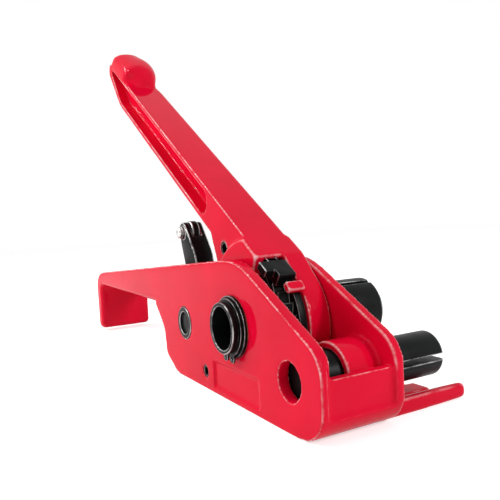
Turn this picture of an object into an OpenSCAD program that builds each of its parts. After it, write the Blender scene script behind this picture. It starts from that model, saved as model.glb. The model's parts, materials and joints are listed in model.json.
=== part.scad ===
// Strapping tensioner: a hand tool that winds cord strap onto a split windlass.
// X runs towards the nose, Y away from the near side plate, Z up from the flat base.
// The origin lies on the base, under the windlass axis, half way across the casting.

/* [Body casting] */
// Width of the casting over both side plates
body_w = 41.6; // [36:0.1:50]
// Thickness of the near side plate
near_plate_t = 5.6; // [5:0.1:7.6]
// Thickness of the far side plate
far_plate_t = 4.7; // [4:0.1:6]
// Distance from the windlass axis to the front of the nose
nose_reach = 68.7; // [64:0.1:80]
// Distance from the windlass axis to the back of the palm hook
tail_reach = 255; // [215:1:300]
// Height of the side plates over the windlass
plate_top = 69.7; // [66:0.1:74]
// Height of the palm rest at its back end
tail_top = 49; // [46:0.5:56]
// Thickness of the palm hook
hook_t = 14; // [10:0.5:18]
// Clearance under the palm hook
hook_lift = 2.2; // [1:0.1:6]
// Thickness of the web on top of the palm rest
tail_web_t = 6; // [4:0.5:8]
// Thickness of the floor between the side plates
floor_t = 5; // [4:0.5:7]
// Thickness of the front wall
front_wall_t = 6.5; // [5:0.5:8]
// Height of the front wall
front_wall_h = 25.6; // [20:0.1:28]
// Depth of the recess in the front wall above its foot
wall_recess = 2.2; // [1:0.1:3]
// Radius of the drilling hole in the nose of the near plate
nose_hole_r = 8.25; // [6:0.05:9.5]
// Length of the bare label recess
label_l = 46; // [30:1:50]
// Height of the bare label recess
label_h = 14; // [8:0.5:15]
// Depth of the bare label recess
label_depth = 1.2; // [0.5:0.1:2]

/* [Strap foot] */
// Reach of the foot plate past the far side plate
foot_reach = 39.6; // [30:0.2:46]
// Thickness of the foot plate
foot_t = 3.4; // [2.5:0.1:4.5]
// Height of the lip along the front of the foot
lip_h = 7.1; // [5:0.1:9]
// Width of the lip
lip_w = 4.5; // [3.5:0.1:6]
// Width of the strap groove behind the lip
groove_w = 9; // [6:0.5:10]
// Floor left under the strap groove
groove_floor = 1.2; // [1:0.1:2]

/* [Windlass] */
// Height of the windlass axis over the base
windlass_z = 37.5; // [36:0.1:40]
// Radius of the windlass shaft
shaft_r = 12.2; // [11:0.1:12.8]
// Radius of the split head that winds the strap
head_r = 16; // [13.5:0.1:16.5]
// Length of the split head
head_l = 39.3; // [32:0.1:48]
// Width of the strap slots
slot_w = 2.6; // [2:0.1:4]
// Angle of the slot in the split head from the X axis
head_slot_angle = 67; // [0:1:90]
// Length of shaft that stands out of the near side plate
shaft_tail_l = 6.3; // [6:0.1:9]
// Wall of the hollow near end of the shaft
shaft_wall = 2; // [1.6:0.1:3]
// Wall of the shaft bushes
bush_wall = 2; // [1.5:0.1:2.5]
// Tip radius of the ratchet wheel
wheel_r = 24.6; // [24:0.1:25.2]
// Width of the ratchet wheel
wheel_w = 9.8; // [8:0.1:10]
// Radius of the plain flange on the far side of the ratchet wheel
flange_r = 26.8; // [25.6:0.1:27]
// Width of the plain flange
flange_w = 3.8; // [2:0.1:5]
// Number of ratchet teeth
teeth = 26; // [12:1:30]
// Depth of the ratchet teeth
tooth_depth = 3.2; // [2:0.1:4]
// Width and height of the ratchet key
key_w = 5; // [4:0.5:6]

/* [Front shaft] */
// Distance of the front shaft from the windlass axis along X
front_x = 46.6; // [44:0.1:56]
// Height of the front shaft over the base
front_z = 21.5; // [19:0.1:23]
// Radius of the front split shaft
front_r = 10.3; // [9:0.1:11.5]
// Length of front shaft that stands out of the far side plate
front_l = 36.7; // [30:0.1:44]
// Radius of the cast boss that holds the front shaft
boss_r = 13.6; // [12.5:0.1:14.2]
// Length of the cast boss
boss_l = 17.1; // [14:0.1:24]
// Radius of the roll pin that locks the front shaft
lock_pin_r = 2; // [1.5:0.1:2.5]

/* [Handle] */
// Tilt of the handle at rest from the horizontal
handle_tilt = 33.8; // [30:0.1:38]
// Distance from the windlass axis to the end of the handle
handle_reach = 277; // [230:1:320]
// Distance of the top face of the handle from the windlass axis
ridge_n = 32.2; // [31.6:0.1:33.5]
// Depth of the handle beam
beam_depth = 19; // [16:0.5:20]
// Width of the handle beam
beam_w = 23.9; // [22:0.1:26]
// Width over the fork pads
fork_w = 27.4; // [27:0.1:27.6]
// Thickness of the near fork cheek at its pad
near_cheek_t = 5; // [4.6:0.1:5.4]
// Distance between the near side plate and the fork
fork_offset = 3.3; // [1:0.1:4]
// Radius of the far fork cheek about the windlass
cheek_r = 28.5; // [27.5:0.1:30]
// Radius of the near fork cheek, which stays under the tooth tips
near_cheek_r = 22.5; // [20:0.1:24]
// Radius where the raised fork pads end
pad_r = 41; // [36:0.5:42]
// Width of the gap between the cheeks
fork_gap = 10.8; // [10.6:0.1:11.4]
// Rise of the knob over the top face of the handle
knob_rise = 12.4; // [8:0.1:13]
// Length of the knob
knob_l = 38; // [30:1:44]
// Thickness of the flanges around the side pockets
flange_t = 2.8; // [2:0.1:4]
// Thickness of the web between the side pockets
web_t = 8; // [5:0.5:12]

/* [Pawls] */
// Radius of the roll pin that carries the drive pawl
drive_pin_r = 3.65; // [3:0.05:4]
// Width of the drive pawl beside the wheel flange
drive_pawl_w = 5.4; // [4:0.1:5.5]
// Reach of the thumb tab of the drive pawl past its near side
tab_reach = 4.8; // [3:0.1:5.5]
// Distance of the holding pawl pin behind the windlass axis
hold_x = 59; // [56:0.1:62]
// Height of the holding pawl pin over the base
hold_z = 31.5; // [29:0.1:33]
// Radius of the holding pawl pin
hold_pin_r = 6.3; // [5:0.1:6.8]
// Outer radius of the bushes that carry the holding pawl pin
hold_bush_r = 8.96; // [8.4:0.02:9.4]
// Width of the release lever
lever_w = 11.9; // [10:0.1:12]
// Radius of the roller at the top of the release lever
roller_r = 6.8; // [5:0.1:7]
// Radius of the lever cross pin
cross_pin_r = 2.2; // [1.8:0.1:2.8]
// Height of the boss under the head of the cross pin
ear_boss = 2; // [1:0.1:3]
// Radius of the domed head of the cross pin
cross_head_r = 3.2; // [3:0.1:4]
// Radius of the pin that anchors the holding pawl spring
anchor_pin_r = 3.3; // [2.5:0.1:3.6]
// Wire radius of the torsion springs
wire_r = 0.6; // [0.4:0.05:0.7]

/* [Fits] */
// Radial clearance of shafts that turn in bushes and bores
running = 0.06; // [0.02:0.01:0.08]
// Radial clearance of parts that are pressed together
seat = 0.01; // [0.005:0.005:0.02]
// Clearance between pieces that slide past each other side by side
side_gap = 0.1; // [0.1:0.05:0.3]
// Clearance of the pawl noses over the tooth tips
pawl_gap = 0.4; // [0.3:0.05:0.6]

/* [Hidden] */
$fn = 96;
wire_fn = 32;
bite = 1;

// Planes across the tool
near_out = -body_w / 2;
near_in = near_out + near_plate_t;
far_out = body_w / 2;
far_in = far_out - far_plate_t;

// The fork and everything between its cheeks
fork_y0 = near_in + fork_offset;
fork_y1 = fork_y0 + fork_w;
gap_y0 = fork_y0 + near_cheek_t;
gap_y1 = gap_y0 + fork_gap;
wheel_y1 = gap_y1 - (fork_gap - wheel_w) / 2;
wheel_y0 = wheel_y1 - wheel_w;
beam_y1 = fork_y1 - 1.3;
beam_y0 = beam_y1 - beam_w;
bush_r = shaft_r + bush_wall;

// The handle in its own plane: s along the beam, n towards its top face
beam_n = ridge_n - beam_depth;
window_s = 10.8;
roof_n = ridge_n - 2.7;
drive_s = 42.7;
drive_n = 14.6;

// Outlines are lists of corners, each with the radius that rounds it
tail_slope = (plate_top - tail_top) / (tail_reach + 5.2);
hook_x = hook_t - tail_reach;
side_corners = [
  [-74, 0, 8], [nose_reach, 0, 15.5], [nose_reach, 34.5, 16], [5.2, plate_top, 45],
  [-tail_reach, tail_top, 14], [1.5 - tail_reach, hook_lift, 5], [hook_x, hook_lift, 4],
  [hook_x, tail_top - 9.5, 6], [-106.8, 38.4, 3], [-92, 23.5, 8], [-90.3, 8.8, 5]
];
rear_wall_corners = [
  [-89.8, 8.8, 1], [-84.6, 8.8, 1], [-86.4, 25.5, 4], [-98.5, 39.6, 1], [-104.6, 38.6, 1], [-91, 24, 4]
];
beam_corners = [
  [56, beam_n, 0], [handle_reach - 38, beam_n - 1, 40], [handle_reach - 1, 24, 12],
  [handle_reach, ridge_n, 0], [56, ridge_n, 0]
];
knob_corners = [
  [handle_reach - knob_l, ridge_n - 8, 0], [handle_reach - 1, ridge_n - 8, 7],
  [handle_reach - 3, ridge_n + knob_rise, 13], [handle_reach - knob_l - 6.5, ridge_n + knob_rise, 5],
  [handle_reach - knob_l - 1, ridge_n, 0]
];
pocket_corners = [
  [70, beam_n + flange_t, 8], [handle_reach - 38, beam_n + flange_t - 1, 36],
  [handle_reach - 9, 26, 6], [handle_reach - 8, ridge_n - flange_t, 3], [72, ridge_n - flange_t, 8]
];
fork_corners = [
  [18.3, -21.9, 0], [60, beam_n, 9], [64, ridge_n, 0], [window_s, ridge_n, 1], [-7, 27.6, 0]
];
near_fork_corners = [
  [14.4, -17.3, 0], [60, beam_n, 9], [64, ridge_n, 0], [window_s, ridge_n, 1], [window_s - 3, 19, 0]
];
cavity_corners = [
  [0, -34, 0], [44, -34, 0], [56, beam_n, 6], [56, roof_n - 3, 5], [48, roof_n, 5], [0, roof_n, 0]
];
head_n = ridge_n - 0.8;
drive_pawl_corners = [
  [-3.3, head_n, 1], [-3.3, 20, 0], [22, 14, 3], [drive_s - 3, drive_n - 6.2, 0], [drive_s, drive_n + 6.9, 3],
  [window_s - 1.4, 25.6, 1], [window_s - 2.4, head_n, 1]
];
head_corners = [
  [-3.3, head_n, 1], [-3.3, flange_r + 0.8, 0],
  [window_s - 2.4, flange_r + 0.8, 0], [window_s - 2.4, head_n, 1]
];
tab_corners = [[0.7, head_n, 1], [0.7, 27, 1], [window_s - 2.6, 27, 1], [window_s - 2.6, head_n, 1]];

// The holding pawl, its release lever and the roller at the top
lever_y0 = wheel_y0 - 2.2;
lever_y1 = lever_y0 + lever_w;
nose_y0 = gap_y0 + 0.6;
nose_y1 = gap_y1 - 0.6;
ear_t = 3.4;
roller_y0 = lever_y0 + ear_t + side_gap;
roller_y1 = lever_y1 - ear_t - side_gap;
roller_x = -83;
roller_z = 82;
hub_r = 11;
lever_corners = [
  [-66, 40, 6], [-52, 40, 0], [-60.5, 49, 8], [-65, 60, 12], [-67.4, 69, 12], [-73.5, 77.6, 12],
  [-82, 88.4, 4], [-88.9, 87.4, 5], [-87.6, 76, 8], [-82, 60, 8], [-70, 31, 0]
];
nose_corners = [
  [-59, 21, 4], [-20.6, 46, 0], [-17.5, 55, 1.2], [-24, 56.2, 3], [-46, 50.5, 20], [-64, 46, 0]
];
anchor_x = -34;
anchor_z = 9.2;
spring_y = (near_in + lever_y0) / 2;

function unit(v) = v / norm(v);
function xy(p) = [p[0], p[1]];
function turn(u, w) = u[0] * w[1] - u[1] * w[0];
// Points that round corner b, between its neighbours a and c, as far as both edges have room
function corner_arc(a, b, c, r) =
  let (
    u = unit(a - b),
    w = unit(c - b),
    half = acos(u * w) / 2,
    fit = min(r, 0.49 * min(norm(a - b), norm(c - b)) * tan(half)),
    mid = b + unit(u + w) * fit / sin(half),
    from = b + u * fit / tan(half) - mid,
    sweep = (180 - 2 * half) * (turn(u, w) > 0 ? -1 : 1),
    steps = max(3, ceil(abs(sweep) / 9))
  )
  [for (i = [0:steps])
    let (t = sweep * i / steps)
    mid + [from[0] * cos(t) - from[1] * sin(t), from[0] * sin(t) + from[1] * cos(t)]];
function rounded(corners) =
  let (n = len(corners))
  [for (i = [0:n - 1])
    let (
      b = corners[i],
      a = xy(corners[(i + n - 1) % n]),
      c = xy(corners[(i + 1) % n])
    )
    each (b[2] > 0 ? corner_arc(a, xy(b), c, b[2]) : [xy(b)])];

// A flat outline in X and Z, thickened from y0 to y1
module across(y0, y1) {
  translate([0, y1, 0])
    rotate([90, 0, 0])
      linear_extrude(y1 - y0)
        children();
}

// A round bar along Y
module rod(r, y0, y1, x = 0, z = 0) {
  translate([x, y1, z])
    rotate([90, 0, 0])
      cylinder(r = r, h = y1 - y0);
}

// A tube along Y
module tube(r, hole_r, y0, y1, x = 0, z = 0) {
  difference() {
    rod(r, y0, y1, x, z);
    rod(hole_r, y0 - bite, y1 + bite, x, z);
  }
}

// A round bar along Y whose far end has a chamfer
module chamfered_rod(r, y0, y1, chamfer, x = 0, z = 0) {
  translate([x, y0, z])
    rotate([-90, 0, 0])
      rotate_extrude()
        polygon([[0, 0], [r, 0], [r, y1 - y0 - chamfer], [r - chamfer, y1 - y0], [0, y1 - y0]]);
}

// A box from one corner to the opposite one
module block(low, high) {
  translate(low)
    cube(high - low);
}

// Places a flat outline of the handle on the windlass axis, at the handle's tilt
module handle_plane() {
  translate([0, windlass_z])
    rotate(-handle_tilt)
      mirror([1, 0])
        children();
}

module side_outline() {
  polygon(rounded(side_corners));
}

module side_plates() {
  across(near_out, near_in) side_outline();
  across(far_in, far_out) side_outline();
}

module palm_rest() {
  intersection() {
    across(near_out, far_out) side_outline();
    block([-tail_reach - bite, near_out, 0], [hook_x + 6, far_out, plate_top]);
  }
  intersection() {
    across(near_in - bite, far_in + bite) side_outline();
    across(near_in - bite, far_in + bite)
      polygon([
        [hook_x, tail_top + hook_t * tail_slope - tail_web_t],
        [-96, plate_top - 101.2 * tail_slope - tail_web_t],
        [-96, plate_top],
        [hook_x, plate_top]
      ]);
  }
}

module cross_walls() {
  across(near_in - bite, far_in + bite) polygon(rounded(rear_wall_corners));
  intersection() {
    across(near_in - bite, far_in + bite) side_outline();
    union() {
      block([-88, near_in - bite, 0], [nose_reach, far_in + bite, floor_t]);
      block([nose_reach - front_wall_t, near_in - bite, 0], [nose_reach, far_in + bite, front_wall_h]);
    }
  }
}

// The front wall steps back above its foot, between the rounded edges of the side plates
module wall_recess_cut() {
  foot_h = 10.6;
  end_r = 1.5;
  wall_x = nose_reach - wall_recess;
  block([wall_x, near_out + 3.6, foot_h + end_r], [nose_reach + bite, far_in, plate_top]);
  block([wall_x, near_out + 3.6 + end_r, foot_h], [nose_reach + bite, far_in, foot_h + end_r + bite]);
  translate([wall_x, near_out + 3.6 + end_r, foot_h + end_r])
    rotate([0, 90, 0])
      cylinder(r = end_r, h = wall_recess + bite);
}

module shaft_boss() {
  rod(boss_r, far_in - boss_l, far_in + bite, front_x, front_z);
  block([front_x - 8, far_in - boss_l, floor_t - bite], [front_x + 8, far_in + bite, front_z]);
}

module strap_foot() {
  lip_x = 57.5;
  foot_y1 = far_out + foot_reach;
  linear_extrude(foot_t)
    polygon([
      [-45, far_in],
      [lip_x - lip_w - groove_w, far_in],
      [lip_x - lip_w - groove_w, foot_y1],
      [lip_x - 24.5, foot_y1],
      [lip_x - 24.5, foot_y1 - 5],
      [-45, far_out + 3]
    ]);
  block([lip_x - lip_w - groove_w - bite, far_in, 0], [lip_x - lip_w + bite, foot_y1, groove_floor]);
  block([lip_x - lip_w, far_in, 0], [lip_x, foot_y1 + 7.2, lip_h]);
  translate([lip_x - lip_w / 2, foot_y1 + 7.2, 0]) cylinder(r = lip_w / 2, h = lip_h);
}

module body_casting() {
  color("crimson")
    difference() {
      union() {
        side_plates();
        palm_rest();
        cross_walls();
        shaft_boss();
        strap_foot();
      }
      rod(bush_r + seat, near_out - bite, near_in + bite, 0, windlass_z);
      rod(bush_r + seat, far_in - bite, far_out + bite, 0, windlass_z);
      rod(front_r + seat, far_in - boss_l - bite, far_out + bite, front_x, front_z);
      rod(nose_hole_r, near_out - bite, near_in + bite, front_x, front_z);
      rod(hold_bush_r + seat, near_out - bite, near_in + bite, -hold_x, hold_z);
      rod(hold_bush_r + seat, far_in - bite, far_out + bite, -hold_x, hold_z);
      rod(anchor_pin_r + seat, near_out - bite, near_in + bite, anchor_x, anchor_z);
      block([-24, near_out - bite, 3], [label_l - 24, near_out + label_depth, 3 + label_h]);
      wall_recess_cut();
      translate([front_x, far_in - boss_l / 2, -bite])
        cylinder(r = lock_pin_r + seat, h = front_z, $fn = 32);
    }
}

module shaft_bush(y0, y1) {
  color("darkgoldenrod") tube(bush_r, shaft_r + running, y0, y1, 0, windlass_z);
}

module near_bush() {
  shaft_bush(near_out, near_in);
}

module far_bush() {
  shaft_bush(far_in, far_out);
}

// Turned windlass: hollow near end with a ring groove, plain shaft, split head
ring_t = 1.2;
washer_t = 1.6;
groove_depth = 0.8;
groove_y1 = near_out - washer_t - 2 * side_gap;
groove_y0 = groove_y1 - ring_t - side_gap;
head_y0 = far_out + 0.5;
head_y1 = head_y0 + head_l;
tail_y = near_out - shaft_tail_l;
module windlass_shaft() {
  color([0.12, 0.12, 0.13])
    difference() {
      union() {
        rod(shaft_r, tail_y, head_y0 + bite, 0, windlass_z);
        chamfered_rod(head_r, head_y0, head_y1, 2.2, 0, windlass_z);
      }
      rod(shaft_r - shaft_wall, tail_y - bite, tail_y + 22, 0, windlass_z);
      difference() {
        rod(shaft_r + bite, groove_y0, groove_y1, 0, windlass_z);
        rod(shaft_r - groove_depth, groove_y0 - bite, groove_y1 + bite, 0, windlass_z);
      }
      translate([0, 0, windlass_z])
        rotate([0, -head_slot_angle, 0])
          block([-head_r - bite, head_y0 + 2.5, -slot_w / 2], [head_r + bite, head_y1 + bite, slot_w / 2]);
      block(
        [-key_w / 2, wheel_y0, windlass_z + shaft_r - key_w / 2],
        [key_w / 2, wheel_y1, windlass_z + shaft_r + bite]
      );
    }
}

function tooth_point(i) = [
  [wheel_r * cos(i * 360 / teeth), wheel_r * sin(i * 360 / teeth)],
  [(wheel_r - tooth_depth) * cos(i * 360 / teeth), (wheel_r - tooth_depth) * sin(i * 360 / teeth)]
];
flange_y0 = wheel_y1 - flange_w;
module ratchet_wheel() {
  color([0.14, 0.14, 0.15])
    difference() {
      union() {
        across(wheel_y0, wheel_y1)
          translate([0, windlass_z])
            polygon([for (i = [0:teeth - 1]) each tooth_point(i)]);
        rod(flange_r, flange_y0, wheel_y1, 0, windlass_z);
      }
      rod(shaft_r + seat, wheel_y0 - bite, wheel_y1 + bite, 0, windlass_z);
      block(
        [-key_w / 2 - seat, wheel_y0 - bite, windlass_z],
        [key_w / 2 + seat, wheel_y1 + bite, windlass_z + shaft_r + key_w / 2 + seat]
      );
    }
}

module ratchet_key() {
  color("dimgray")
    block(
      [seat - key_w / 2, wheel_y0 + side_gap, windlass_z + shaft_r - key_w / 2 + seat],
      [key_w / 2 - seat, wheel_y1 - side_gap, windlass_z + shaft_r + key_w / 2 - seat]
    );
}

module thrust_washer() {
  color([0.16, 0.16, 0.17])
    tube(bush_r + 0.6, shaft_r + running, near_out - washer_t - side_gap, near_out - side_gap, 0, windlass_z);
}

// Open snap ring in the shaft groove, with an ear at each end
module retaining_ring() {
  ring_r = shaft_r + 1.4;
  ring_y1 = groove_y1 - side_gap / 2;
  color([0.2, 0.2, 0.21])
    difference() {
      union() {
        tube(ring_r, shaft_r - groove_depth + running, ring_y1 - ring_t, ring_y1, 0, windlass_z);
        for (side = [-1, 1])
          tube(2.2, 0.8, ring_y1 - ring_t, ring_y1, side * 3.2, windlass_z - ring_r - 0.6);
      }
      block([-1.2, ring_y1 - ring_t - bite, windlass_z - ring_r - 4], [1.2, ring_y1 + bite, windlass_z]);
    }
}

// A fork cheek: a disc about the windlass that runs out into the beam
module cheek(y0, y1, r, corners) {
  across(y0, y1)
    handle_plane() {
      circle(r = r);
      polygon(rounded(corners));
    }
}

module fork_cheeks() {
  cheek(beam_y0, gap_y0 + bite, near_cheek_r, near_fork_corners);
  cheek(gap_y0, beam_y1, cheek_r, fork_corners);
  intersection() {
    union() {
      cheek(fork_y0, gap_y0 + bite, near_cheek_r, near_fork_corners);
      cheek(gap_y1, fork_y1, cheek_r, fork_corners);
    }
    rod(pad_r, fork_y0, fork_y1, 0, windlass_z);
  }
}

module knob() {
  arch_r = 14.5;
  intersection() {
    across(beam_y0, beam_y1) handle_plane() polygon(rounded(knob_corners));
    translate([0, (beam_y0 + beam_y1) / 2, windlass_z])
      rotate([0, handle_tilt - 90, 0])
        translate([ridge_n + knob_rise - arch_r, 0, 0])
          cylinder(r = arch_r, h = handle_reach + bite);
  }
}

// Stop lug on the inside of the far cheek, just over the wheel flange
module pawl_stop() {
  translate([0, 0, windlass_z])
    rotate([0, -40, 0])
      block([flange_r + pawl_gap, gap_y1 - 8, -2.6], [flange_r + 3.5, gap_y1 + bite, 2.6]);
}

module side_pockets() {
  pocket_depth = (beam_w - web_t) / 2;
  across(beam_y0 - bite, beam_y0 + pocket_depth) handle_plane() polygon(rounded(pocket_corners));
  across(beam_y1 - pocket_depth, beam_y1 + bite) handle_plane() polygon(rounded(pocket_corners));
}

module handle_casting() {
  pin_x = -drive_s * cos(handle_tilt) + drive_n * sin(handle_tilt);
  pin_z = windlass_z + drive_s * sin(handle_tilt) + drive_n * cos(handle_tilt);
  color("red") {
    difference() {
      union() {
        across(beam_y0, beam_y1) handle_plane() polygon(rounded(beam_corners));
        fork_cheeks();
        knob();
      }
      side_pockets();
      across(gap_y0, gap_y1)
        handle_plane() {
          circle(r = cheek_r + 1);
          polygon(rounded(cavity_corners));
          translate([-20, 0]) square([window_s + 20, ridge_n + bite]);
        }
      rod(bush_r + seat, fork_y0 - bite, fork_y1 + bite, 0, windlass_z);
      rod(drive_pin_r + seat, beam_y0 - bite, beam_y1 + bite, pin_x, pin_z);
    }
    pawl_stop();
  }
}

module handle_bush_near() {
  shaft_bush(fork_y0, gap_y0);
}

module handle_bush_far() {
  shaft_bush(gap_y1, fork_y1);
}

module fork_washer() {
  color("silver")
    tube(16, shaft_r + running, near_in + side_gap, fork_y0 - side_gap, 0, windlass_z);
}

module fork_shim() {
  color("silver")
    tube(16, shaft_r + running, fork_y1 + side_gap, far_in - side_gap, 0, windlass_z);
}

drive_x = -drive_s * cos(handle_tilt) + drive_n * sin(handle_tilt);
drive_z = windlass_z + drive_s * sin(handle_tilt) + drive_n * cos(handle_tilt);
drive_y1 = wheel_y1 - flange_w - 0.4;
drive_y0 = drive_y1 - drive_pawl_w;
module drive_pawl() {
  color([0.1, 0.1, 0.11])
    difference() {
      union() {
        across(drive_y0, drive_y1) handle_plane() polygon(rounded(drive_pawl_corners));
        across(drive_y0, gap_y1 - 0.5) handle_plane() polygon(rounded(head_corners));
        across(drive_y0 - tab_reach, drive_y1) handle_plane() polygon(rounded(tab_corners));
        rod(7, drive_y0, drive_y1, drive_x, drive_z);
      }
      rod(wheel_r + pawl_gap, drive_y0 - bite, drive_y1 + bite, 0, windlass_z);
      rod(drive_pin_r + running, drive_y0 - bite, drive_y1 + bite, drive_x, drive_z);
    }
}

// Rolled spring pin with its slot
module drive_pawl_pin() {
  color([0.18, 0.18, 0.19])
    difference() {
      tube(drive_pin_r, drive_pin_r - 1.1, beam_y0 + 0.3, beam_y1 - 0.3, drive_x, drive_z);
      block(
        [drive_x, beam_y0 - bite, drive_z - 0.35],
        [drive_x + drive_pin_r + bite, beam_y1 + bite, drive_z + 0.35]
      );
    }
}

// Close-wound turns of spring wire about an axis along Y, as one plain band
module coil(r, turns, y, x, z) {
  tube(r + wire_r, r - wire_r, y - turns * wire_r, y + turns * wire_r, x, z);
}

// A straight leg of spring wire between two points at the same Y
module wire_leg(y, x0, z0, x1, z1) {
  length = norm([x1 - x0, z1 - z0]);
  translate([x0, y, z0])
    rotate([0, atan2(x1 - x0, z1 - z0), 0])
      cylinder(r = wire_r, h = length, $fn = wire_fn);
}

module drive_pawl_spring() {
  coil_r = drive_pin_r + wire_r + 0.3;
  leg_y = gap_y1 - 2 * wire_r - side_gap;
  color([0.25, 0.25, 0.26]) {
    coil(coil_r, 2, leg_y, drive_x, drive_z);
    wire_leg(leg_y, drive_x, drive_z + coil_r, drive_x + 27, drive_z - 5.5);
  }
}

module holding_pawl() {
  color([0.11, 0.11, 0.12])
    difference() {
      union() {
        across(lever_y0, lever_y1) polygon(rounded(lever_corners));
        across(nose_y0, nose_y1) polygon(rounded(nose_corners));
        rod(hub_r, lever_y0, nose_y1, -hold_x, hold_z);
        rod(cross_head_r + 0.6, lever_y0 - ear_boss, lever_y0 + bite, roller_x, roller_z);
      }
      rod(hold_pin_r + running, lever_y0 - bite, nose_y1 + bite, -hold_x, hold_z);
      rod(wheel_r + pawl_gap, lever_y0 - bite, lever_y1 + bite, 0, windlass_z);
      rod(flange_r + pawl_gap, flange_y0 - pawl_gap, lever_y1 + bite, 0, windlass_z);
      rod(roller_r + 0.8, lever_y0 + ear_t, lever_y1 - ear_t, roller_x, roller_z);
      block(
        [roller_x - 12, lever_y0 + ear_t, roller_z],
        [roller_x + 12, lever_y1 - ear_t, roller_z + 12]
      );
      rod(cross_pin_r + running, lever_y0 - ear_boss - bite, lever_y1 + bite, roller_x, roller_z);
    }
}

module holding_pawl_pin() {
  color([0.3, 0.3, 0.32])
    rod(hold_pin_r, near_out + 0.8, far_out - 0.8, -hold_x, hold_z);
}

module pin_bush(y0, y1) {
  color([0.22, 0.24, 0.24]) tube(hold_bush_r, hold_pin_r + seat, y0, y1, -hold_x, hold_z);
}

module pin_bush_near() {
  pin_bush(near_out - 0.4, near_in);
}

module pin_bush_far() {
  pin_bush(far_in, far_out + 0.4);
}

module pawl_spacer() {
  color("gray")
    tube(hold_pin_r + 2.4, hold_pin_r + running, nose_y1 + side_gap, far_in - side_gap, -hold_x, hold_z);
}

module spring_spacer() {
  color("gray")
    tube(hold_pin_r + 1.4, hold_pin_r + running, near_in + side_gap, lever_y0 - side_gap, -hold_x, hold_z);
}

module holding_pawl_spring() {
  coil_r = hold_pin_r + 1.4 + wire_r + 0.2;
  leg_z = anchor_z + anchor_pin_r + wire_r + 0.1;
  color([0.25, 0.25, 0.26]) {
    coil(coil_r, 3, spring_y, -hold_x, hold_z);
    wire_leg(spring_y - wire_r, -hold_x, hold_z - coil_r, anchor_x + 2, leg_z);
    wire_leg(spring_y + wire_r, -hold_x - coil_r, hold_z, -hold_x - coil_r - 9, hold_z + 24);
  }
}

module spring_anchor_pin() {
  color([0.18, 0.18, 0.19])
    difference() {
      tube(anchor_pin_r, anchor_pin_r - 1.1, near_out + 0.5, lever_y0, anchor_x, anchor_z);
      block(
        [anchor_x, near_out - bite, anchor_z - 0.35],
        [anchor_x + anchor_pin_r + bite, lever_y0 + bite, anchor_z + 0.35]
      );
    }
}

module lever_cross_pin() {
  color("silver") {
    rod(cross_pin_r, lever_y0 - ear_boss - bite, lever_y1 - 0.2, roller_x, roller_z);
    translate([roller_x, lever_y0 - ear_boss - side_gap / 2, roller_z])
      rotate([90, 0, 0])
        rotate_extrude()
          polygon([[0, 0], [cross_head_r, 0], [cross_head_r, 0.8], [cross_head_r - 1.2, 1.7], [0, 1.9]]);
  }
}

module lever_roller() {
  color([0.2, 0.17, 0.16])
    tube(roller_r, cross_pin_r + running, roller_y0, roller_y1, roller_x, roller_z);
}

module front_shaft() {
  front_y1 = far_out + front_l;
  color([0.12, 0.12, 0.13])
    difference() {
      chamfered_rod(front_r, near_in + 0.5, front_y1, 1.6, front_x, front_z);
      block(
        [front_x - front_r - bite, far_out + 4, front_z - slot_w / 2],
        [front_x + front_r + bite, front_y1 + bite, front_z + slot_w / 2]
      );
      translate([front_x, far_in - boss_l / 2, 0])
        cylinder(r = lock_pin_r + seat, h = front_z - 2, $fn = 32);
    }
}

module front_lock_pin() {
  color([0.18, 0.18, 0.19])
    translate([front_x, far_in - boss_l / 2, 0.6])
      cylinder(r = lock_pin_r, h = front_z - 3.2, $fn = 32);
}

body_casting();
near_bush();
far_bush();
windlass_shaft();
ratchet_wheel();
ratchet_key();
thrust_washer();
retaining_ring();
handle_casting();
handle_bush_near();
handle_bush_far();
fork_washer();
fork_shim();
drive_pawl();
drive_pawl_pin();
drive_pawl_spring();
holding_pawl();
holding_pawl_pin();
pin_bush_near();
pin_bush_far();
pawl_spacer();
spring_spacer();
holding_pawl_spring();
spring_anchor_pin();
lever_cross_pin();
lever_roller();
front_shaft();
front_lock_pin();
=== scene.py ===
"""Looks of a strapping tensioner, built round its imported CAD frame.

The two castings become a rounded cast skin, the machined pieces keep their CAD
shape with broken edges, and the springs are wound from round wire.
"""
import json
import math

import bmesh
import bpy
from mathutils import Matrix, Vector

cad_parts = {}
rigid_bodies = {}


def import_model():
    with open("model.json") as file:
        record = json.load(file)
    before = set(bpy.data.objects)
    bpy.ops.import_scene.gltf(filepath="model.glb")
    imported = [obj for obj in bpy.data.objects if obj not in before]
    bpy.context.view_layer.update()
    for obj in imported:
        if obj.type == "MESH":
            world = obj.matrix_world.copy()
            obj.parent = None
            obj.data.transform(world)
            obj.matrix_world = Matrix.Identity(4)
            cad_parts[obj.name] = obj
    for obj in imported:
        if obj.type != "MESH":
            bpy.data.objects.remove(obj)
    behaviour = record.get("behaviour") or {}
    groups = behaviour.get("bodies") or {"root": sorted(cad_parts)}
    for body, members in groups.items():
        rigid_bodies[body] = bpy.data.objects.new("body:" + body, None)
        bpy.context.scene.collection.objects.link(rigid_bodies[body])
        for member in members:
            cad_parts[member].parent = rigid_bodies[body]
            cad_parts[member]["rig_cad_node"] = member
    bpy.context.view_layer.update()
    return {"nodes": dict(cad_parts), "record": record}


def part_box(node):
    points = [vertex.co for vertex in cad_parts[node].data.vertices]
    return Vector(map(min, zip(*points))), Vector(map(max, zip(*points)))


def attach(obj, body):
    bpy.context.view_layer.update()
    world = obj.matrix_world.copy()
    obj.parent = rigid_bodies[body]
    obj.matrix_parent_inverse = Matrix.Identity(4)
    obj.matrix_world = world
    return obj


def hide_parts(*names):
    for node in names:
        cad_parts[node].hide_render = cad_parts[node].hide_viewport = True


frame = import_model()
NODES = frame["nodes"]
PARTS = {part["node"]: part for part in frame["record"]["subparts"]}
BODY_OF = {node: body for body, nodes in frame["record"]["behaviour"]["bodies"].items() for node in nodes}


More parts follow.
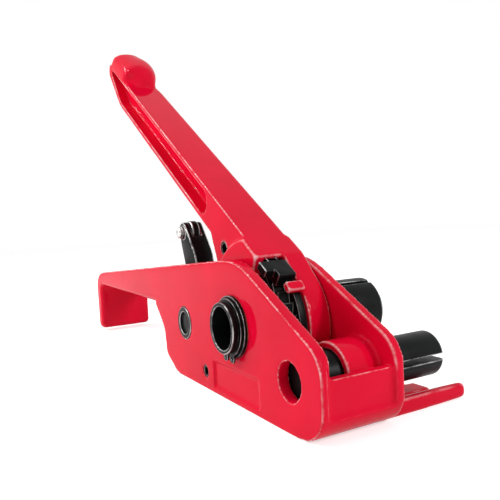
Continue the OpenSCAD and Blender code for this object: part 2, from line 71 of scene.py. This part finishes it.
def middle_of(node):
    """The middle of a CAD node's box."""
    low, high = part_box(node)
    return (low + high) / 2


# ---------------------------------------------------------------- sizes

MM = 0.001
WINDLASS = middle_of("ratchet_wheel")
GRAIN = 0.8 * MM  # mesh size of a cast skin
BODY_PASSES = 6  # smoothing passes over the body's skin
BODY_SHARE = 0.62  # share of the body's triangles that is kept
HANDLE_PASSES = 4  # smoothing passes over the handle's skin
SHARP = math.radians(35)  # the castings' edges are rounded where they turn by more than this
HOOK_ROUND = 3.2 * MM  # rounding of the edges of the palm hook
HOOK_START = -100 * MM  # the hook and the palm rest lie behind this
LIP_ROUND = 2.4 * MM  # rounding of the tip of the foot's lip
LIP_TIP = 2.3 * MM  # how far the edges of that tip reach back

BEAM_MIDDLE = middle_of("drive_pawl_pin").y
HANDLE_TILT = math.radians(33.8)  # slope of the handle at rest
RIDGE = 32.2 * MM  # top of the beam, up from the windlass axis
KNOB_MIDDLE = 250.5 * MM  # middle of the knob, along the handle from that axis
KNOB_LIFT = 2.2 * MM  # middle of the knob over the ridge
KNOB_ASIDE = 3.5 * MM  # middle of the knob towards the far side
KNOB_RADII = (23.5, 12.5, 10.8)  # along, across and up, in millimetres
KNOB_RUBS = [(219, 3), (223, 8), (227, 75)]  # start of each rubbing down, in millimetres, and its passes
RUB_DEPTH = 1.5 * MM  # how far below the ridge the rubbing down reaches

TEETH_DEPTH = 4.5 * MM  # from the tips of the teeth to just outside their roots
TEETH_WIDTH = 4 * MM  # the roots are longer than this, across the tool
HUB_R = 18 * MM  # the hub of the wheel, inside the roots
GULLET_ROUND = 1.3 * MM  # rounding of the roots
WIRE_R = 0.6 * MM  # radius of the springs' wire
WIRE_SIDES = 14
COIL_PITCH = 2.04 * WIRE_R  # from one turn to the next, wound close
STEPS_A_TURN = 36

# Width of the broken edge of each machined piece, in millimetres, and its steps.
BROKEN_EDGES = {
    "windlass_shaft": (0.45, 3),
    "front_shaft": (0.5, 3),
    "front_lock_pin": (0.3, 2),
    "ratchet_wheel": (0.2, 2),
    "ratchet_key": (0.2, 2),
    "retaining_ring": (0.2, 2),
    "thrust_washer": (0.25, 2),
    "near_bush": (0.3, 2),
    "far_bush": (0.3, 2),
    "handle_bush_near": (0.3, 2),
    "handle_bush_far": (0.3, 2),
    "fork_washer": (0.3, 2),
    "fork_shim": (0.1, 2),
    "drive_pawl": (0.45, 3),
    "drive_pawl_pin": (0.25, 2),
    "holding_pawl": (0.8, 3),
    "holding_pawl_pin": (0.5, 3),
    "pin_bush_near": (0.4, 3),
    "pin_bush_far": (0.4, 3),
    "pawl_spacer": (0.3, 2),
    "spring_spacer": (0.3, 2),
    "spring_anchor_pin": (0.25, 2),
    "lever_cross_pin": (0.3, 2),
    "lever_roller": (0.9, 4),
}

# Each spring: the pin it is wound about, its coil radius, the angle in degrees where its wire starts,
# its turns, and its legs at the near and at the far end.
SPRINGS = {
    "holding_pawl_spring": {
        "pin": "holding_pawl_pin",
        "coil_r": 8.5 * MM,
        "start": 90,
        "turns": 2.25,
        "legs": [(27 * MM, 0, -9.8 * MM), (-9 * MM, 0, 24 * MM)],
    },
    "drive_pawl_spring": {
        "pin": "drive_pawl_pin",
        "coil_r": 4.55 * MM,
        "start": -90,
        "turns": 1.9,
        "legs": [None, (27 * MM, 0, -10.05 * MM)],
    },
}


# ---------------------------------------------------------------- light and eye

EYE = (0.2326, -0.1400, 0.0861)
EYE_TURN = (29.328, 2.812, 2.892)  # yaw, pitch and roll, in degrees
LENS = 40.18
SKY_LEVEL = 0.5  # light that the white world throws on the object
FLOOR_GLOW = 0.55  # what makes the floor white for the eye
FLOOR_SIZE = 6.0

# Soft boxes, in metres and watts: the strip, turned by its roll in degrees, draws the lines along the edges.
SOFT_BOXES = {
    "strip": {
        "place": (-0.65, -0.72, 0.55),
        "target": (-0.05, 0, 0.08),
        "width": 0.022,
        "height": 1.1,
        "power": 6.5,
        "roll": 40,
    },
    "key": {
        "place": (-0.2, -0.72, 0.88),
        "target": (-0.05, 0, 0.08),
        "width": 0.12,
        "height": 0.12,
        "power": 3.0,
    },
    "fill": {
        "place": (0.95, 0.5, 0.62),
        "target": (0, 0, 0.05),
        "width": 0.1,
        "height": 0.4,
        "power": 6.5,
    },
}


# ---------------------------------------------------------------- materials

def new_material(name):
    """An empty node material with its principled shader."""
    material = bpy.data.materials.new(name)
    material.use_nodes = True
    shader = material.node_tree.nodes["Principled BSDF"]
    return material, material.node_tree, shader


def add_node(tree, kind, **settings):
    """A node of that kind, with its sockets or properties set by name."""
    node = tree.nodes.new(kind)
    for key, value in settings.items():
        label = key.replace("_", " ")
        if label in node.inputs:
            node.inputs[label].default_value = value
        else:
            setattr(node, key, value)
    return node


def set_shader(shader, **values):
    """Values that are the same all over a surface, set on the shader's own sockets."""
    for key, value in values.items():
        shader.inputs[key.replace("_", " ")].default_value = value


def noise(tree, cells, detail=4.0, rough=0.5):
    """Noise in object coordinates, with so many cells to the metre."""
    place = tree.nodes.get("place") or add_node(tree, "ShaderNodeTexCoord", name="place")
    texture = add_node(tree, "ShaderNodeTexNoise", Scale=cells, Detail=detail, Roughness=rough)
    tree.links.new(place.outputs["Object"], texture.inputs["Vector"])
    return texture.outputs["Fac"]


def ramp(tree, source, low, high):
    """A colour or a grey between two stops, each a position and its colour or grey."""
    node = tree.nodes.new("ShaderNodeValToRGB")
    for point, (where, tone) in zip(node.color_ramp.elements, (low, high)):
        point.position = where
        point.color = (*tone, 1) if isinstance(tone, tuple) else (tone, tone, tone, 1)
    tree.links.new(source, node.inputs["Fac"])
    return node.outputs["Color"]


def product(tree, first, second):
    """Two grey levels multiplied."""
    node = add_node(tree, "ShaderNodeMath", operation="MULTIPLY")
    tree.links.new(first, node.inputs[0])
    tree.links.new(second, node.inputs[1])
    return node.outputs[0]


def laid_over(tree, under, colour, share):
    """A colour laid over another one, as thick as share says."""
    node = add_node(tree, "ShaderNodeMix", data_type="RGBA")
    sockets = {socket.identifier: socket for socket in (*node.inputs, *node.outputs)}
    tree.links.new(share, sockets["Factor_Float"])
    tree.links.new(under, sockets["A_Color"])
    sockets["B_Color"].default_value = (*colour, 1)
    return sockets["Result_Color"]


def bump(tree, shader, height, distance, strength, under=None):
    """Bump of that distance in metres, on top of another bump."""
    node = add_node(tree, "ShaderNodeBump", Strength=strength, Distance=distance)
    tree.links.new(height, node.inputs["Height"])
    if under:
        tree.links.new(under.outputs["Normal"], node.inputs["Normal"])
    tree.links.new(node.outputs["Normal"], shader.inputs["Normal"])
    return node


def red_paint():
    """Thick glossy crimson paint over a sand-cast skin, with painted highlights: pale lines in patches along
    its edges.
    """
    material, tree, shader = new_material("red_paint")
    tint = ramp(tree, noise(tree, 30, 3), (0.35, (0.66, 0.002, 0.025)), (0.7, (0.75, 0.0026, 0.031)))
    form = tree.nodes.new("ShaderNodeNewGeometry")
    # Painted highlight: a pale pink laid over the convex edges where pointiness is high, broken into patches
    # by noise, in place of gloss lines.
    edge = ramp(tree, form.outputs["Pointiness"], (0.526, 0.0), (0.566, 1.0))
    wear_and_highlight_noise = ramp(tree, noise(tree, 110, 6, 0.62), (0.38, 0.15), (0.54, 1.0))
    colour = laid_over(tree, tint, (1.0, 0.78, 0.78), product(tree, edge, wear_and_highlight_noise))
    tree.links.new(colour, shader.inputs["Base Color"])
    skin = bump(tree, shader, noise(tree, 260, 2), 0.25 * MM, 0.35)
    bump(tree, shader, noise(tree, 1500, 2), 0.06 * MM, 0.3, skin)
    set_shader(shader, Roughness=0.32, Specular_IOR_Level=0.0)
    set_shader(shader, Coat_Weight=0.55, Coat_IOR=1.22, Coat_Roughness=0.04)
    return material


def black_oxide():
    """Black-oxided machined steel: satin, a little oily, duller where it is handled."""
    material, tree, shader = new_material("black_oxide")
    wear_and_highlight_noise = noise(tree, 90, 6, 0.6)
    tint = ramp(tree, wear_and_highlight_noise, (0.3, (0.0015, 0.0017, 0.002)), (0.75, (0.005, 0.0056, 0.0062)))
    tree.links.new(tint, shader.inputs["Base Color"])
    tree.links.new(ramp(tree, wear_and_highlight_noise, (0.3, 0.32), (0.8, 0.48)), shader.inputs["Roughness"])
    bump(tree, shader, noise(tree, 1200, 3), 0.05 * MM, 0.4)
    set_shader(shader, Specular_IOR_Level=0.085)
    return material


def bare_metal(name, dark, light, grain, finish=None, metallic=1.0, rough=0.3):
    """Bare metal between a dark and a light tone: grain is the noise of its tone, finish that of its bump."""
    material, tree, shader = new_material(name)
    tone = noise(tree, *grain)
    tree.links.new(ramp(tree, tone, dark, light), shader.inputs["Base Color"])
    bump(tree, shader, noise(tree, *finish) if finish else tone, 0.04 * MM, 0.4)
    set_shader(shader, Metallic=metallic, Roughness=rough)
    return material


def plated_steel():
    """Zinc-plated steel with fine turning lines."""
    dark, light = (0.3, (0.5, 0.5, 0.48)), (0.7, (0.7, 0.7, 0.68))
    return bare_metal("plated_steel", dark, light, (400, 4))


def bronze():
    """Turned bronze, dull with oil."""
    dark, light = (0.3, (0.3, 0.17, 0.06)), (0.7, (0.48, 0.3, 0.12))
    return bare_metal("bronze", dark, light, (300, 4), rough=0.38)


def rubbed_steel():
    """Edges of the black pieces, where handling has worn the oxide thin."""
    dark, light = (0.38, (0.05, 0.052, 0.052)), (0.62, (0.42, 0.42, 0.41))
    return bare_metal("rubbed_steel", dark, light, (160, 5, 0.65), (1200, 3), metallic=0.8, rough=0.33)


OXIDE = black_oxide()
RUBBED = rubbed_steel()
FINISHES = {
    "red_paint": red_paint(),
    "black_steel": OXIDE,
    "bronze": bronze(),
    "bright_steel": plated_steel(),
    "spring_steel": OXIDE,
}


# ---------------------------------------------------------------- workshop

def act_on(*pieces):
    """Only these pieces are selected, and the first is active."""
    bpy.ops.object.select_all(action="DESELECT")
    for piece in pieces:
        piece.select_set(True)
    bpy.context.view_layer.objects.active = pieces[0]


def apply_modifier(piece, kind, **settings):
    """Adds a modifier, sets it and applies it."""
    act_on(piece)
    modifier = piece.modifiers.new(kind, kind)
    for key, value in settings.items():
        setattr(modifier, key, value)
    bpy.ops.object.modifier_apply(modifier=modifier.name)


def copy_of(node, name):
    """A copy of a CAD node with its own mesh, its loose triangles merged into whole faces."""
    act_on(NODES[node])
    bpy.ops.object.duplicate(linked=False)
    piece = bpy.context.object
    piece.name = piece.data.name = name
    del piece["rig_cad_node"]
    piece.parent = None
    act_on(piece)
    bpy.ops.mesh.customdata_custom_splitnormals_clear()
    bpy.ops.object.mode_set(mode="EDIT")
    bpy.ops.mesh.select_all(action="SELECT")
    bpy.ops.mesh.remove_doubles(threshold=0.002 * MM)
    bpy.ops.mesh.dissolve_limited(angle_limit=math.radians(0.3))
    bpy.ops.object.mode_set(mode="OBJECT")
    return piece


def pick_points(piece, wanted):
    """Opens a piece in edit mode with the points selected where wanted(place) holds."""
    act_on(piece)
    bpy.ops.object.mode_set(mode="EDIT")
    bpy.ops.mesh.select_mode(type="VERT")
    bpy.ops.mesh.select_all(action="DESELECT")
    shape = bmesh.from_edit_mesh(piece.data)
    for point in shape.verts:
        point.select_set(bool(wanted(point.co)))
    shape.select_flush_mode()
    bmesh.update_edit_mesh(piece.data)


def pick_edges(piece, wanted):
    """Opens a piece in edit mode with the edges selected where wanted(edge) holds."""
    act_on(piece)
    bpy.ops.object.mode_set(mode="EDIT")
    bpy.ops.mesh.select_mode(type="EDGE")
    bpy.ops.mesh.select_all(action="DESELECT")
    shape = bmesh.from_edit_mesh(piece.data)
    for edge in shape.edges:
        if wanted(edge):
            edge.select_set(True)
    bmesh.update_edit_mesh(piece.data)


def is_sharp(edge):
    """Whether an edge has two faces that meet at more than the angle of a sharp edge."""
    return len(edge.link_faces) == 2 and edge.calc_face_angle(0) > SHARP


def round_edges(piece, wanted, width, steps):
    """Rounds the sharp edges of a crisp solid, both of whose ends are wanted."""
    pick_edges(piece, lambda edge: is_sharp(edge) and all(wanted(v.co) for v in edge.verts))
    bpy.ops.mesh.bevel(offset=width, segments=steps, affect="EDGES", clamp_overlap=False)
    bpy.ops.object.mode_set(mode="OBJECT")


def cast_skin(piece, passes, share=1.0):
    """Turns crisp solids into one cast skin with rounded corners, with a share of its triangles."""
    apply_modifier(piece, "REMESH", mode="VOXEL", voxel_size=GRAIN, use_smooth_shade=True)
    apply_modifier(piece, "SMOOTH", factor=0.5, iterations=passes)
    if share < 1:
        apply_modifier(piece, "DECIMATE", ratio=share)


def rub_down(piece, wanted, passes):
    """Rubs down the part of a skin where wanted(place) holds."""
    pick_points(piece, wanted)
    bpy.ops.mesh.vertices_smooth(factor=0.5, repeat=passes)
    bpy.ops.object.mode_set(mode="OBJECT")


def dress(piece, node):
    """Gives a finished piece the finish and the body of the CAD node that it stands for."""
    slot = PARTS[node]["material_slot"]
    if not piece.data.materials:
        piece.data.materials.append(FINISHES[slot])
    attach(piece, BODY_OF[node])
    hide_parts(node)


# ---------------------------------------------------------------- castings

def body_cast():
    """The body, its edges rounded as cast, and more on the palm hook and the tip of the lip."""
    piece = copy_of("body_casting", "body_cast")
    low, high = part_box("body_casting")
    near, far = low.y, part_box("far_bush")[1].y

    def on_hook(co):
        """Whether a point is on the near or the far rim of the hook or of the palm rest."""
        beside = co.y < near + 0.1 * MM or far - 0.1 * MM < co.y < far + 0.9 * MM
        return co.x < HOOK_START and beside

    round_edges(piece, on_hook, HOOK_ROUND, 4)
    round_edges(piece, lambda co: co.y > high.y - LIP_TIP, LIP_ROUND, 4)
    cast_skin(piece, BODY_PASSES, BODY_SHARE)
    dress(piece, "body_casting")


def on_handle(s, y, n):
    """A point s along the handle from the windlass axis and n up from it, at y across the tool."""
    x = WINDLASS.x - s * math.cos(HANDLE_TILT) + n * math.sin(HANDLE_TILT)
    z = WINDLASS.z + s * math.sin(HANDLE_TILT) + n * math.cos(HANDLE_TILT)
    return Vector((x, y, z))


def past(co, start):
    """Whether a point is past start along the handle and about as high as the ridge, or higher."""
    x, z = co.x - WINDLASS.x, co.z - WINDLASS.z
    s = -x * math.cos(HANDLE_TILT) + z * math.sin(HANDLE_TILT)
    n = x * math.sin(HANDLE_TILT) + z * math.cos(HANDLE_TILT)
    return s > start and n > RIDGE - RUB_DEPTH


def knob_egg():
    """The egg of the knob, which lies along the handle and stands over the ridge."""
    bpy.ops.object.select_all(action="DESELECT")
    bpy.ops.mesh.primitive_uv_sphere_add(segments=64, ring_count=32, radius=MM, location=(0, 0, 0))
    egg = bpy.context.object
    egg.scale = KNOB_RADII
    egg.rotation_euler = (0, HANDLE_TILT, 0)
    egg.location = on_handle(KNOB_MIDDLE, BEAM_MIDDLE + KNOB_ASIDE, RIDGE + KNOB_LIFT)
    act_on(egg)
    bpy.ops.object.transform_apply(location=True, rotation=True, scale=True)
    return egg


def handle_cast():
    """The handle, with the knob filled out to a smooth egg that runs into the sides."""
    piece = copy_of("handle_casting", "handle_cast")
    act_on(piece, knob_egg())
    bpy.ops.object.join()
    cast_skin(piece, HANDLE_PASSES)
    for start, passes in KNOB_RUBS:
        rub_down(piece, lambda co: past(co, start * MM), passes)
    dress(piece, "handle_casting")


# ---------------------------------------------------------------- machined pieces

def round_gullets(wheel):
    """The roots of the ratchet teeth are milled round."""
    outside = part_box("ratchet_wheel")[1].x - TEETH_DEPTH

    def is_root(edge):
        a, b = (v.co for v in edge.verts)
        radius = math.hypot(a.x - WINDLASS.x, a.z - WINDLASS.z)
        return abs(a.y - b.y) > TEETH_WIDTH and HUB_R < radius < outside

    pick_edges(wheel, is_root)
    bpy.ops.mesh.bevel(offset=GULLET_ROUND, segments=5, affect="EDGES")
    bpy.ops.object.mode_set(mode="OBJECT")


def machined(node, width, steps):
    """A machined piece: a copy of its CAD node with each sharp edge broken, and rubbed if it is black."""
    slot = PARTS[node]["material_slot"]
    piece = copy_of(node, f"{node}_made")
    if node == "ratchet_wheel":
        round_gullets(piece)
    piece.data.materials.clear()
    piece.data.materials.append(FINISHES[slot])
    piece.data.materials.append(RUBBED if slot == "black_steel" else FINISHES[slot])
    apply_modifier(
        piece,
        "BEVEL",
        width=width,
        segments=steps,
        limit_method="ANGLE",
        angle_limit=math.radians(32),
        use_clamp_overlap=False,
        material=1,
    )
    act_on(piece)
    bpy.ops.object.shade_smooth_by_angle(angle=math.radians(34))
    dress(piece, node)


# ---------------------------------------------------------------- springs

def coil(name, centre, coil_r, start, turns):
    """Round wire wound close about an axis across the tool."""
    bpy.ops.object.select_all(action="DESELECT")
    bpy.ops.mesh.primitive_circle_add(vertices=WIRE_SIDES, radius=WIRE_R, location=(0, 0, 0))
    piece = bpy.context.object
    piece.name = piece.data.name = name
    bpy.ops.object.mode_set(mode="EDIT")
    bpy.ops.mesh.select_all(action="SELECT")
    bpy.ops.transform.translate(value=(coil_r, 0, 0))
    bpy.ops.object.mode_set(mode="OBJECT")
    length = COIL_PITCH * turns
    steps = int(STEPS_A_TURN * turns)
    apply_modifier(
        piece,
        "SCREW",
        axis="Y",
        angle=math.tau * turns,
        screw_offset=length,
        steps=steps,
        render_steps=steps,
    )
    piece.rotation_euler = (0, math.radians(start), 0)
    piece.location = Vector(centre) - Vector((0, length / 2, 0))
    act_on(piece)
    bpy.ops.object.transform_apply(location=True, rotation=True, scale=True)
    return piece


def grow_leg(piece, end, limit, leg):
    """Draws the open end of the wire, near or far, out into a straight leg."""

    def is_rim(edge):
        middle = (edge.verts[0].co + edge.verts[1].co) / 2
        return edge.is_boundary and end * (middle.y - limit) > 0

    pick_edges(piece, is_rim)
    bpy.ops.mesh.extrude_region_move(TRANSFORM_OT_translate={"value": leg})
    bpy.ops.object.mode_set(mode="OBJECT")


def wound_spring(node, pin, coil_r, start, turns, legs):
    """A torsion spring about its pin, with a straight leg at each end that has one."""
    axis = middle_of(pin)
    band = middle_of(node).y
    piece = coil(f"{node}_wound", (axis.x, band, axis.z), coil_r, start, turns)
    for end, leg in zip((-1, 1), legs):
        if leg:
            grow_leg(piece, end, band + end * (COIL_PITCH * turns / 2 - 1.2 * WIRE_R), leg)
    bpy.ops.object.mode_set(mode="EDIT")
    bpy.ops.mesh.select_all(action="SELECT")
    bpy.ops.mesh.fill_holes(sides=WIRE_SIDES)
    bpy.ops.mesh.normals_make_consistent(inside=False)
    bpy.ops.object.mode_set(mode="OBJECT")
    bpy.ops.object.shade_smooth_by_angle(angle=math.radians(50))
    dress(piece, node)


def finish_cad_nodes():
    """Every CAD node takes the finish that its slot names."""
    for name, part in PARTS.items():
        NODES[name].data.materials.clear()
        NODES[name].data.materials.append(FINISHES[part["material_slot"]])


# ---------------------------------------------------------------- stage

def camera():
    """The camera stands in front of the nose, low and close."""
    yaw, pitch, roll = (math.radians(angle) for angle in EYE_TURN)
    ahead = Vector((-math.cos(yaw) * math.cos(pitch), math.sin(yaw) * math.cos(pitch), -math.sin(pitch)))
    level = Vector((math.sin(yaw), math.cos(yaw), 0))
    down = ahead.cross(level)
    right = math.cos(roll) * level + math.sin(roll) * down
    up = math.sin(roll) * level - math.cos(roll) * down
    lens = bpy.data.cameras.new("camera")
    lens.lens = LENS
    lens.sensor_width = 36
    lens.clip_start = 0.01
    eye = bpy.data.objects.new("camera", lens)
    bpy.context.scene.collection.objects.link(eye)
    turn = Matrix((right, up, -ahead)).transposed().to_4x4()
    eye.matrix_world = Matrix.Translation(EYE) @ turn
    bpy.context.scene.camera = eye


def soft_box(name, place, target, width, height, power, roll=0):
    """A soft box that looks at a target, its long side turned by roll degrees."""
    lamp = bpy.data.lights.new(name, "AREA")
    lamp.shape = "RECTANGLE"
    lamp.size = width
    lamp.size_y = height
    lamp.energy = power
    holder = bpy.data.objects.new(name, lamp)
    bpy.context.scene.collection.objects.link(holder)
    look = (Vector(target) - Vector(place)).to_track_quat("-Z", "Y").to_matrix().to_4x4()
    holder.matrix_world = Matrix.Translation(place) @ look @ Matrix.Rotation(math.radians(roll), 4, "Z")


def seen_directly(tree):
    """1 for rays from the camera or a reflection, 0 for the light that falls on the object."""
    path = tree.nodes.new("ShaderNodeLightPath")
    seen = path.outputs["Is Camera Ray"]
    for ray in ("Is Glossy Ray", "Is Transmission Ray"):
        either = add_node(tree, "ShaderNodeMath", operation="MAXIMUM")
        tree.links.new(seen, either.inputs[0])
        tree.links.new(path.outputs[ray], either.inputs[1])
        seen = either.outputs[0]
    return seen


def white_world():
    """A world that is white to look at and throws a softer light."""
    world = bpy.data.worlds.new("studio")
    bpy.context.scene.world = world
    world.use_nodes = True
    tree = world.node_tree
    sky = tree.nodes["Background"]
    sky.inputs["Color"].default_value = (1, 1, 1, 1)
    level = add_node(tree, "ShaderNodeMapRange", To_Min=SKY_LEVEL, To_Max=1.0)
    tree.links.new(seen_directly(tree), level.inputs["Value"])
    tree.links.new(level.outputs["Result"], sky.inputs["Strength"])


def white_floor():
    """A floor that looks white but keeps the shadow of the tool."""
    bpy.ops.object.select_all(action="DESELECT")
    bpy.ops.mesh.primitive_plane_add(size=FLOOR_SIZE, location=(0, 0, 0))
    floor = bpy.context.object
    floor.name = "floor"
    material, tree, shader = new_material("white_floor")
    set_shader(shader, Base_Color=(0.86, 0.86, 0.86, 1), Emission_Color=(1, 1, 1, 1))
    set_shader(shader, Roughness=0.95, Specular_IOR_Level=0.0)
    glow = add_node(tree, "ShaderNodeMath", operation="MULTIPLY")
    glow.inputs[1].default_value = FLOOR_GLOW
    tree.links.new(seen_directly(tree), glow.inputs[0])
    tree.links.new(glow.outputs[0], shader.inputs["Emission Strength"])
    floor.data.materials.append(material)


finish_cad_nodes()
body_cast()
handle_cast()
for node, (width, steps) in BROKEN_EDGES.items():
    machined(node, width * MM, steps)
for node, making in SPRINGS.items():
    wound_spring(node, **making)
camera()
white_world()
for name, box in SOFT_BOXES.items():
    soft_box(name, **box)
white_floor()

scene = bpy.context.scene
scene.view_settings.view_transform = "Standard"
